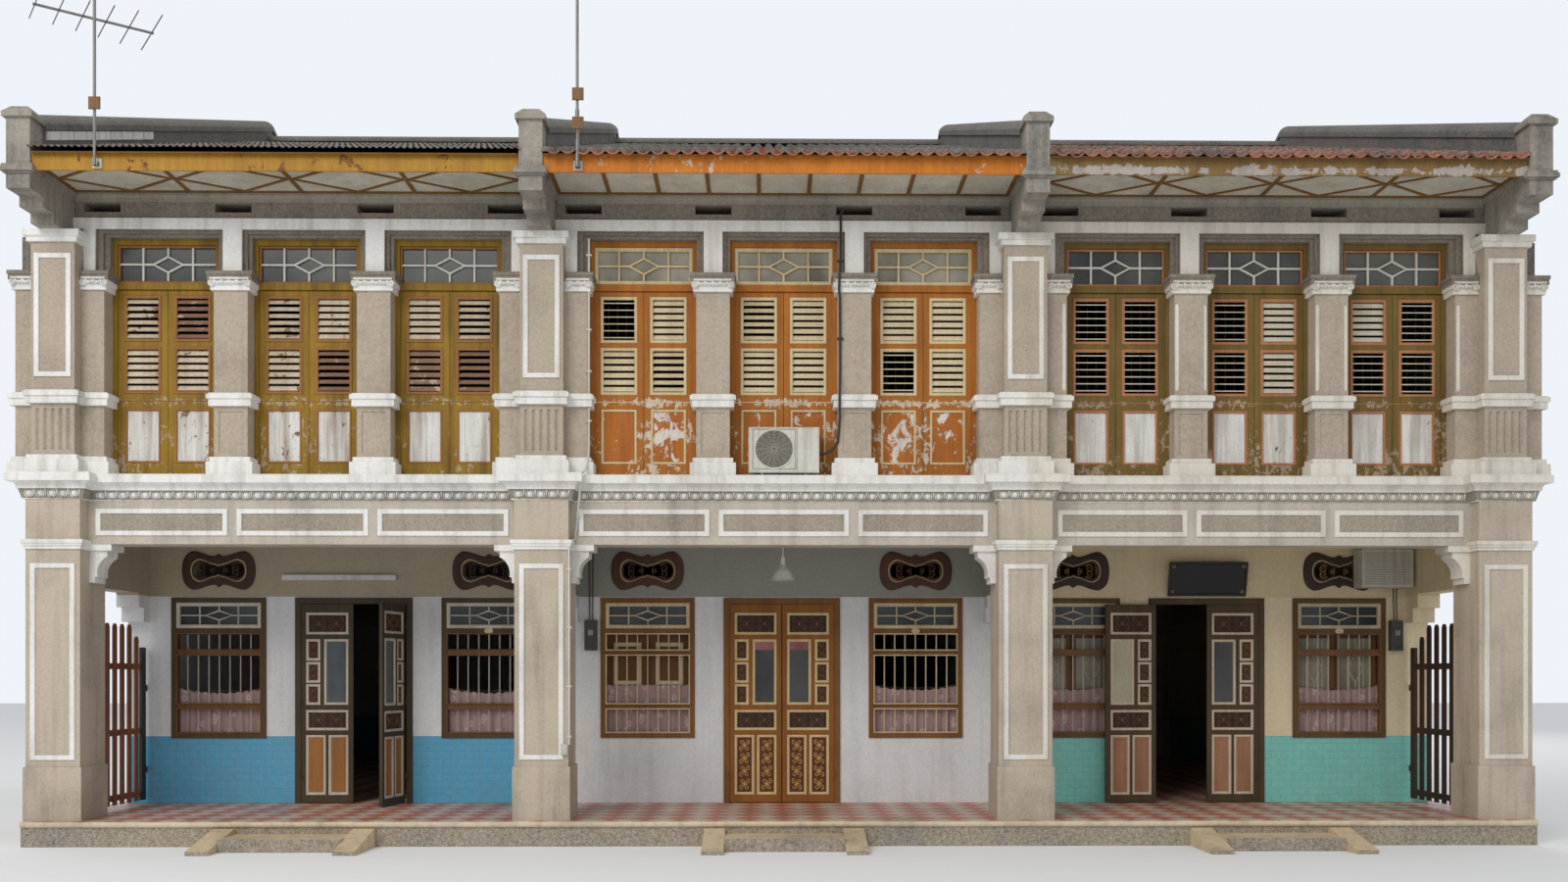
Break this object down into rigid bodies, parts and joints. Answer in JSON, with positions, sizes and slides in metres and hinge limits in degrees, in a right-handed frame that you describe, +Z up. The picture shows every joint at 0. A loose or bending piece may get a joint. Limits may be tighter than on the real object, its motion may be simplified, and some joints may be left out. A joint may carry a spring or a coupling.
{
  "type": "row of two-storey shophouses",
  "caption": "Row of old two-storey shophouses with an arcaded walkway, louvred shutters and tiled roofs",
  "frame": {"origin": "on the ground, midway along the row, in the plane of the arcade piers' front faces", "axes": "+X runs along the street to the right seen from it, +Y goes into the houses and +Z is up"},
  "size_m": [18.612, 16.6128, 11.3921],
  "materials": {
    "grey_plaster": "rough weathered plaster",
    "white_paint": "limewashed plaster",
    "house_wall": "painted plaster",
    "floor_tile": "patterned cement tiles",
    "step_plaster": "worn cream plaster",
    "coping_plaster": "mossy dark plaster",
    "sheet_metal": "weathered corrugated sheet",
    "clay_tile": "clay roof tiles",
    "fascia_paint": "painted boards with wear",
    "soffit_board": "painted boards",
    "shutter_paint": "painted timber",
    "door_paint": "painted timber",
    "gate_wood": "stained timber",
    "iron": "painted iron",
    "antenna_metal": "weathered aluminium",
    "unit_paint": "off-white sheet metal",
    "board_paint": "black lacquered board",
    "meter_case": "grey plastic"
  },
  "bodies": {
    "building": {"ground_floor": "floor_tile", "entrance_steps": "step_plaster", "arcade_piers": "grey_plaster", "pier_capitals": "white_paint", "arcade_beams": "grey_plaster", "cornice": "white_paint", "upper_floors": "house_wall", "party_walls_ground": "house_wall", "party_walls_upper": "grey_plaster", "party_copings": "coping_plaster", "eaves_posts": "grey_plaster", "sheet_roof": "sheet_metal", "tile_roof": "clay_tile", "ridge_caps": "coping_plaster", "fascias": "fascia_paint", "soffits": "soffit_board", "frieze_walls": "grey_plaster", "upper_piers": "grey_plaster", "pilaster_mouldings": "white_paint", "architraves": "white_paint", "panel_frames": "white_paint", "upper_window_frames": "shutter_paint", "shutters_left": "shutter_paint", "shutters_middle": "shutter_paint", "shutters_right": "shutter_paint", "walls_beside_doors": "house_wall", "walls_over_doors": "house_wall", "vent_plaques": "white_paint", "ground_windows": "door_paint", "door_frames": "door_paint", "gate_brackets": "iron", "name_board": "board_paint", "meter_boxes": "meter_case", "cooling_units": "unit_paint", "rear_walls": "house_wall", "rear_joinery": "door_paint", "antennas": "antenna_metal", "walkway_lamps": "unit_paint"},
    "left_house_left_leaf_body": {"left_house_left_leaf": "door_paint"},
    "left_house_right_leaf_body": {"left_house_right_leaf": "door_paint"},
    "middle_house_left_leaf_body": {"middle_house_left_leaf": "door_paint"},
    "middle_house_right_leaf_body": {"middle_house_right_leaf": "door_paint"},
    "right_house_left_leaf_body": {"right_house_left_leaf": "door_paint"},
    "right_house_right_leaf_body": {"right_house_right_leaf": "door_paint"},
    "gate_left_body": {"gate_left": "gate_wood"},
    "gate_right_body": {"gate_right": "gate_wood"}
  },
  "joints": [
    {"name": "left_house_left_leaf_hinge", "type": "hinge", "parent": "building", "child": "left_house_left_leaf_body", "pos_m": [-6.512, 2.303, 1.6], "axis": [0, 0, -1], "range_deg": [0, 175]},
    {"name": "left_house_right_leaf_hinge", "type": "hinge", "parent": "building", "child": "left_house_right_leaf_body", "pos_m": [-5.088, 2.303, 1.6], "axis": [0, 0, 1], "range_deg": [-80, 95]},
    {"name": "middle_house_left_leaf_hinge", "type": "hinge", "parent": "building", "child": "middle_house_left_leaf_body", "pos_m": [-0.712, 2.303, 1.6], "axis": [0, 0, -1], "range_deg": [0, 175]},
    {"name": "middle_house_right_leaf_hinge", "type": "hinge", "parent": "building", "child": "middle_house_right_leaf_body", "pos_m": [0.712, 2.303, 1.6], "axis": [0, 0, 1], "range_deg": [0, 175]},
    {"name": "right_house_left_leaf_hinge", "type": "hinge", "parent": "building", "child": "right_house_left_leaf_body", "pos_m": [5.088, 2.303, 1.6], "axis": [0, 0, -1], "range_deg": [-175, 0]},
    {"name": "right_house_right_leaf_hinge", "type": "hinge", "parent": "building", "child": "right_house_right_leaf_body", "pos_m": [6.512, 2.303, 1.6], "axis": [0, 0, 1], "range_deg": [0, 175]},
    {"name": "gate_left_hinge", "type": "hinge", "parent": "building", "child": "gate_left_body", "pos_m": [-8.6, 2.295, 1.3], "axis": [0, 0, -1], "range_deg": [0, 90]},
    {"name": "gate_right_hinge", "type": "hinge", "parent": "building", "child": "gate_right_body", "pos_m": [8.6, 2.295, 1.3], "axis": [0, 0, 1], "range_deg": [0, 90]}
  ]
}
